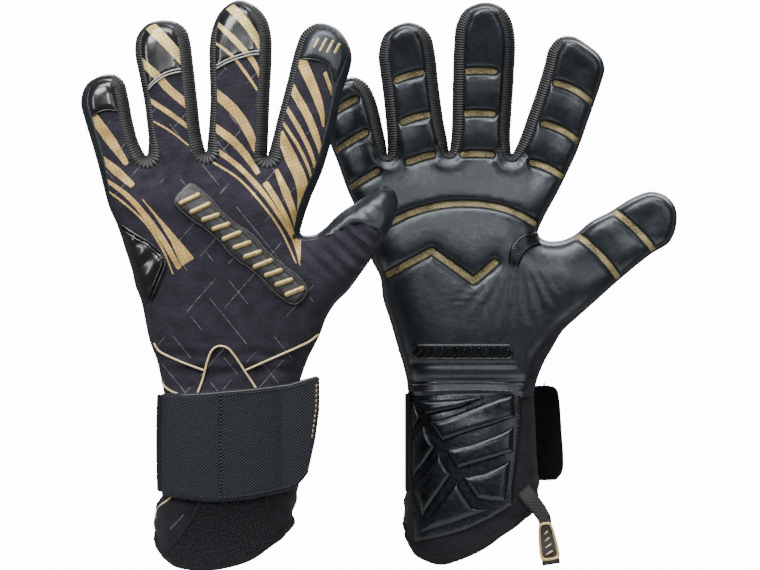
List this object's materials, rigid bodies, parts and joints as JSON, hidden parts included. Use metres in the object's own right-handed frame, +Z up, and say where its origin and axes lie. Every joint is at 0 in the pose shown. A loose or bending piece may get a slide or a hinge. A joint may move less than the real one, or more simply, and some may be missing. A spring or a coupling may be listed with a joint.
{
  "type": "goalkeeper gloves",
  "caption": "Goalkeeper gloves with padded latex palms, hinged fingers, printed backs, long wrist cuffs, wrap straps and pull tabs",
  "frame": {"origin": "centre of the left glove's hand entry, at the level of the cuff's lower edge", "axes": "+Z up along the hands towards the fingertips, +X from the little finger towards the thumb, +Y from the left glove's back towards its palm and on to the right glove"},
  "size_m": [0.2971, 0.1458, 0.2818],
  "materials": {
    "printed_fabric": "dark purple-grey stretch cloth with gold stripes and thin broken grey lines",
    "palm_latex": "smooth black latex foam with a soft blue-grey sheen",
    "gold_mesh": "fine gold mesh in the flex slots",
    "badge_rubber": "raised gold and grey moulded rubber",
    "sleeve_knit": "soft black stretch knit",
    "guard_latex": "quilted black latex, satin",
    "loop_pile": "fuzzy black loop pile",
    "strap_elastic": "ribbed black woven elastic",
    "webbing": "black woven webbing",
    "tag_rubber": "gold frame around a black inset",
    "leather_trim": "glossy black synthetic leather",
    "rib_gusset": "ribbed black knit",
    "gold_trim": "gold piping and stitching"
  },
  "bodies": {
    "left_cuff": {"left_wrist_sleeve": "sleeve_knit", "left_wrist_guard": "guard_latex", "left_loop_patch": "loop_pile"},
    "left_hand": {"left_backhand_body": "printed_fabric", "left_palm_foam": "palm_latex", "left_palm_inserts": "gold_mesh", "left_knuckle_badge": "badge_rubber"},
    "left_little_lower": {"left_little_stall_lower": "printed_fabric", "left_little_foam_lower": "palm_latex"},
    "left_little_upper": {"left_little_stall_upper": "printed_fabric", "left_little_foam_upper": "palm_latex"},
    "left_ring_lower": {"left_ring_stall_lower": "printed_fabric", "left_ring_foam_lower": "palm_latex"},
    "left_ring_upper": {"left_ring_stall_upper": "printed_fabric", "left_ring_foam_upper": "palm_latex"},
    "left_middle_lower": {"left_middle_stall_lower": "printed_fabric", "left_middle_foam_lower": "palm_latex"},
    "left_middle_upper": {"left_middle_stall_upper": "printed_fabric", "left_middle_foam_upper": "palm_latex"},
    "left_index_lower": {"left_index_stall_lower": "printed_fabric", "left_index_foam_lower": "palm_latex"},
    "left_index_upper": {"left_index_stall_upper": "printed_fabric", "left_index_foam_upper": "palm_latex"},
    "left_thumb_lower": {"left_thumb_stall_lower": "printed_fabric"},
    "left_thumb_upper": {"left_thumb_stall_upper": "printed_fabric", "left_thumb_foam_upper": "palm_latex"},
    "left_strap": {"left_strap_band": "strap_elastic"},
    "left_strap_end": {"left_strap_tab": "strap_elastic"},
    "left_pull": {"left_pull_loop": "webbing", "left_pull_tag": "tag_rubber"},
    "right_cuff": {"right_wrist_sleeve": "sleeve_knit", "right_wrist_guard": "guard_latex", "right_loop_patch": "loop_pile"},
    "right_hand": {"right_backhand_body": "printed_fabric", "right_palm_foam": "palm_latex", "right_palm_inserts": "gold_mesh", "right_knuckle_badge": "badge_rubber"},
    "right_little_lower": {"right_little_stall_lower": "printed_fabric", "right_little_foam_lower": "palm_latex"},
    "right_little_upper": {"right_little_stall_upper": "printed_fabric", "right_little_foam_upper": "palm_latex"},
    "right_ring_lower": {"right_ring_stall_lower": "printed_fabric", "right_ring_foam_lower": "palm_latex"},
    "right_ring_upper": {"right_ring_stall_upper": "printed_fabric", "right_ring_foam_upper": "palm_latex"},
    "right_middle_lower": {"right_middle_stall_lower": "printed_fabric", "right_middle_foam_lower": "palm_latex"},
    "right_middle_upper": {"right_middle_stall_upper": "printed_fabric", "right_middle_foam_upper": "palm_latex"},
    "right_index_lower": {"right_index_stall_lower": "printed_fabric", "right_index_foam_lower": "palm_latex"},
    "right_index_upper": {"right_index_stall_upper": "printed_fabric", "right_index_foam_upper": "palm_latex"},
    "right_thumb_lower": {"right_thumb_stall_lower": "printed_fabric"},
    "right_thumb_upper": {"right_thumb_stall_upper": "printed_fabric", "right_thumb_foam_upper": "palm_latex"},
    "right_strap": {"right_strap_band": "strap_elastic"},
    "right_strap_end": {"right_strap_tab": "strap_elastic"},
    "right_pull": {"right_pull_loop": "webbing", "right_pull_tag": "tag_rubber"}
  },
  "joints": [
    {"name": "left_wrist", "type": "hinge", "parent": "left_cuff", "child": "left_hand", "pos_m": [0, 0, 0.08], "axis": [-1, 0, 0], "range_deg": [-12, 12], "stiffness_Nm_per_rad": 1.5},
    {"name": "left_little_base", "type": "hinge", "parent": "left_hand", "child": "left_little_lower", "pos_m": [-0.051, 0.01042, 0.1835], "axis": [-0.9588, 0, -0.284], "range_deg": [0, 40], "stiffness_Nm_per_rad": 0.25},
    {"name": "left_little_tip", "type": "hinge", "parent": "left_little_lower", "child": "left_little_upper", "pos_m": [-0.05682, 0.01104, 0.20316], "axis": [-0.9588, 0, -0.284], "range_deg": [0, 48], "stiffness_Nm_per_rad": 0.12},
    {"name": "left_ring_base", "type": "hinge", "parent": "left_hand", "child": "left_ring_lower", "pos_m": [-0.0246, 0.0106, 0.193], "axis": [-0.9903, 0, -0.1392], "range_deg": [0, 40], "stiffness_Nm_per_rad": 0.25},
    {"name": "left_ring_tip", "type": "hinge", "parent": "left_ring_lower", "child": "left_ring_upper", "pos_m": [-0.02745, 0.01173, 0.2133], "axis": [-0.9903, 0, -0.1392], "range_deg": [0, 48], "stiffness_Nm_per_rad": 0.12},
    {"name": "left_middle_base", "type": "hinge", "parent": "left_hand", "child": "left_middle_lower", "pos_m": [0.0038, 0.01067, 0.195], "axis": [-0.9994, 0, 0.0349], "range_deg": [0, 40], "stiffness_Nm_per_rad": 0.25},
    {"name": "left_middle_tip", "type": "hinge", "parent": "left_middle_lower", "child": "left_middle_upper", "pos_m": [0.00451, 0.01191, 0.21549], "axis": [-0.9994, 0, 0.0349], "range_deg": [0, 48], "stiffness_Nm_per_rad": 0.12},
    {"name": "left_index_base", "type": "hinge", "parent": "left_hand", "child": "left_index_lower", "pos_m": [0.032, 0.01048, 0.188], "axis": [-0.9703, 0, 0.2419], "range_deg": [0, 40], "stiffness_Nm_per_rad": 0.25},
    {"name": "left_index_tip", "type": "hinge", "parent": "left_index_lower", "child": "left_index_upper", "pos_m": [0.03696, 0.01133, 0.20789], "axis": [-0.9703, 0, 0.2419], "range_deg": [0, 48], "stiffness_Nm_per_rad": 0.12},
    {"name": "left_thumb_base", "type": "hinge", "parent": "left_hand", "child": "left_thumb_lower", "pos_m": [0.053, 0.0104, 0.1435], "axis": [-0.809, 0, 0.5878], "range_deg": [0, 30], "stiffness_Nm_per_rad": 0.25},
    {"name": "left_thumb_tip", "type": "hinge", "parent": "left_thumb_lower", "child": "left_thumb_upper", "pos_m": [0.06299, 0.01805, 0.15725], "axis": [-0.809, 0, 0.5878], "range_deg": [0, 36], "stiffness_Nm_per_rad": 0.12},
    {"name": "left_strap_wrap", "type": "hinge", "parent": "left_cuff", "child": "left_strap", "pos_m": [-0.0368, -0.002, 0.052], "axis": [0, 0, -1], "range_deg": [0, 70], "stiffness_Nm_per_rad": 0.05},
    {"name": "left_strap_peel", "type": "hinge", "parent": "left_strap", "child": "left_strap_end", "pos_m": [-0.006, -0.0266, 0.052], "axis": [0, 0, -1], "range_deg": [0, 60], "stiffness_Nm_per_rad": 0.03},
    {"name": "left_pull_swing", "type": "hinge", "parent": "left_cuff", "child": "left_pull", "pos_m": [0.022, 0.0293, 0.035], "axis": [0.8192, 0, -0.5736], "range_deg": [0, 70], "stiffness_Nm_per_rad": 0.004},
    {"name": "right_glove_apart", "type": "slide", "parent": "left_cuff", "child": "right_cuff", "axis": [1, 0, 0], "range_m": [0, 0.1]},
    {"name": "right_wrist", "type": "hinge", "parent": "right_cuff", "child": "right_hand", "pos_m": [0.119, 0.092, 0.08], "axis": [1, 0, 0], "range_deg": [-12, 12], "stiffness_Nm_per_rad": 1.5},
    {"name": "right_little_base", "type": "hinge", "parent": "right_hand", "child": "right_little_lower", "pos_m": [0.068, 0.08159, 0.1835], "axis": [0.9588, 0, 0.284], "range_deg": [0, 40], "stiffness_Nm_per_rad": 0.25},
    {"name": "right_little_tip", "type": "hinge", "parent": "right_little_lower", "child": "right_little_upper", "pos_m": [0.06218, 0.08096, 0.20316], "axis": [0.9588, 0, 0.284], "range_deg": [0, 48], "stiffness_Nm_per_rad": 0.12},
    {"name": "right_ring_base", "type": "hinge", "parent": "right_hand", "child": "right_ring_lower", "pos_m": [0.0944, 0.0814, 0.193], "axis": [0.9903, 0, 0.1392], "range_deg": [0, 40], "stiffness_Nm_per_rad": 0.25},
    {"name": "right_ring_tip", "type": "hinge", "parent": "right_ring_lower", "child": "right_ring_upper", "pos_m": [0.09155, 0.08027, 0.2133], "axis": [0.9903, 0, 0.1392], "range_deg": [0, 48], "stiffness_Nm_per_rad": 0.12},
    {"name": "right_middle_base", "type": "hinge", "parent": "right_hand", "child": "right_middle_lower", "pos_m": [0.1228, 0.08133, 0.195], "axis": [0.9994, 0, -0.0349], "range_deg": [0, 40], "stiffness_Nm_per_rad": 0.25},
    {"name": "right_middle_tip", "type": "hinge", "parent": "right_middle_lower", "child": "right_middle_upper", "pos_m": [0.12351, 0.08009, 0.21549], "axis": [0.9994, 0, -0.0349], "range_deg": [0, 48], "stiffness_Nm_per_rad": 0.12},
    {"name": "right_index_base", "type": "hinge", "parent": "right_hand", "child": "right_index_lower", "pos_m": [0.1555, 0.08152, 0.188], "axis": [0.9588, 0, -0.284], "range_deg": [0, 40], "stiffness_Nm_per_rad": 0.25},
    {"name": "right_index_tip", "type": "hinge", "parent": "right_index_lower", "child": "right_index_upper", "pos_m": [0.16132, 0.08068, 0.20766], "axis": [0.9588, 0, -0.284], "range_deg": [0, 48], "stiffness_Nm_per_rad": 0.12},
    {"name": "right_thumb_base", "type": "hinge", "parent": "right_hand", "child": "right_thumb_lower", "pos_m": [0.183, 0.0816, 0.1465], "axis": [0.5, 0, -0.866], "range_deg": [0, 30], "stiffness_Nm_per_rad": 0.25},
    {"name": "right_thumb_tip", "type": "hinge", "parent": "right_thumb_lower", "child": "right_thumb_upper", "pos_m": [0.19772, 0.0799, 0.155], "axis": [0.5, 0, -0.866], "range_deg": [0, 36], "stiffness_Nm_per_rad": 0.12},
    {"name": "right_strap_wrap", "type": "hinge", "parent": "right_cuff", "child": "right_strap", "pos_m": [0.0822, 0.094, 0.052], "axis": [0, 0, 1], "range_deg": [0, 70], "stiffness_Nm_per_rad": 0.05},
    {"name": "right_strap_peel", "type": "hinge", "parent": "right_strap", "child": "right_strap_end", "pos_m": [0.113, 0.1186, 0.052], "axis": [0, 0, 1], "range_deg": [0, 60], "stiffness_Nm_per_rad": 0.03},
    {"name": "right_pull_swing", "type": "hinge", "parent": "right_cuff", "child": "right_pull", "pos_m": [0.1505, 0.0727, 0.024], "axis": [-0.9397, 0, -0.342], "range_deg": [0, 70], "stiffness_Nm_per_rad": 0.004}
  ],
  "couplings": [
    {"joint": "left_little_tip", "follows": "left_little_base", "ratio": 1.2},
    {"joint": "left_ring_tip", "follows": "left_ring_base", "ratio": 1.2},
    {"joint": "left_middle_tip", "follows": "left_middle_base", "ratio": 1.2},
    {"joint": "left_index_tip", "follows": "left_index_base", "ratio": 1.2},
    {"joint": "left_thumb_tip", "follows": "left_thumb_base", "ratio": 1.2},
    {"joint": "right_little_tip", "follows": "right_little_base", "ratio": 1.2},
    {"joint": "right_ring_tip", "follows": "right_ring_base", "ratio": 1.2},
    {"joint": "right_middle_tip", "follows": "right_middle_base", "ratio": 1.2},
    {"joint": "right_index_tip", "follows": "right_index_base", "ratio": 1.2},
    {"joint": "right_thumb_tip", "follows": "right_thumb_base", "ratio": 1.2}
  ]
}
